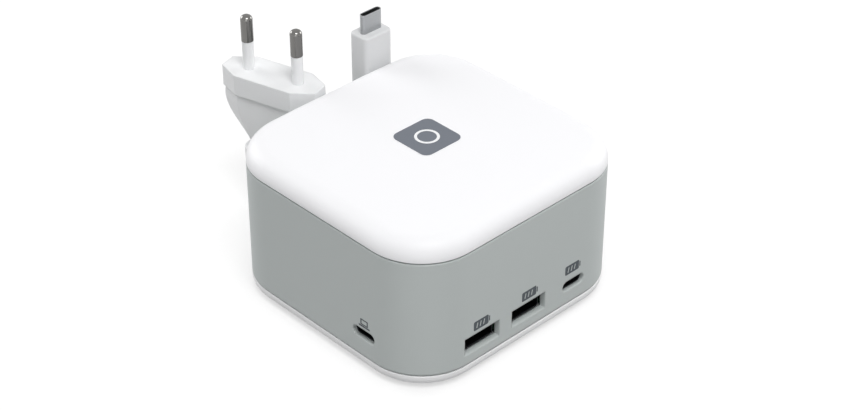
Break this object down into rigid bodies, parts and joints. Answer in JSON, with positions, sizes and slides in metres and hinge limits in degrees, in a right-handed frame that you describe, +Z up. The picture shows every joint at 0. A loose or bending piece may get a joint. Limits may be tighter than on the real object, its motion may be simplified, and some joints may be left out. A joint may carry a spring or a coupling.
{
  "type": "usb-c docking station",
  "caption": "Desktop docking station: soft square case with a white cap, a grey band with USB sockets, a white tray on rubber feet, a mains lead and a USB-C lead.",
  "frame": {"origin": "on the surface that the feet stand on, below the middle of the case", "axes": "+Z up, the face with the three sockets looks along -Y, the host socket's face along -X"},
  "size_m": [0.1237, 0.1341, 0.07],
  "materials": {
    "cap_white": "satin",
    "band_grey": "fine matte",
    "tray_white": "satin",
    "foot_rubber": "matte",
    "screw_steel": "plain",
    "board_laminate": "solder mask",
    "chip_epoxy": "moulded",
    "ferrite": "sintered",
    "coil_tape": "taped",
    "can_aluminium": "sleeved",
    "sink_aluminium": "extruded",
    "socket_steel": "plated",
    "socket_black": "moulded",
    "contact_gold": "plated",
    "cord_pvc": "matte",
    "plug_pvc": "satin",
    "tie_strap": "ribbed",
    "pin_nickel": "nickel plated"
  },
  "bodies": {
    "root": {"top_cap": "cap_white", "side_band": "band_grey", "base_tray": "tray_white", "rubber_feet": "foot_rubber", "base_screws": "screw_steel", "board_spacers": "screw_steel", "board_screws": "screw_steel", "hub_board": "board_laminate", "power_board": "board_laminate", "riser_front": "board_laminate", "riser_host": "board_laminate", "hub_chip": "chip_epoxy", "board_link": "chip_epoxy", "transformer_core": "ferrite", "transformer_coil": "coil_tape", "bulk_capacitors": "can_aluminium", "mains_choke": "coil_tape", "heat_sink": "sink_aluminium", "usb_a_shell_1": "socket_steel", "usb_a_shell_2": "socket_steel", "usb_c_shell_front": "socket_steel", "usb_c_shell_host": "socket_steel", "display_shell": "socket_steel", "usb_a_tongue_1": "socket_black", "usb_a_tongue_2": "socket_black", "usb_c_tongue_front": "socket_black", "usb_c_tongue_host": "socket_black", "display_tongue": "socket_black", "network_housing": "socket_black", "usb_a_contacts_1": "contact_gold", "usb_a_contacts_2": "contact_gold", "network_contacts": "contact_gold", "mains_gland": "cord_pvc", "lead_gland": "cord_pvc", "mains_hank": "cord_pvc", "mains_cord_near": "cord_pvc", "mains_cord_far": "cord_pvc", "lead_cord": "cord_pvc", "plug_relief": "cord_pvc", "hank_tie": "tie_strap", "mains_plug": "plug_pvc", "pin_sleeves": "plug_pvc", "lead_plug": "plug_pvc", "plug_pins": "pin_nickel", "lead_plug_tip": "screw_steel"}
  },
  "joints": []
}
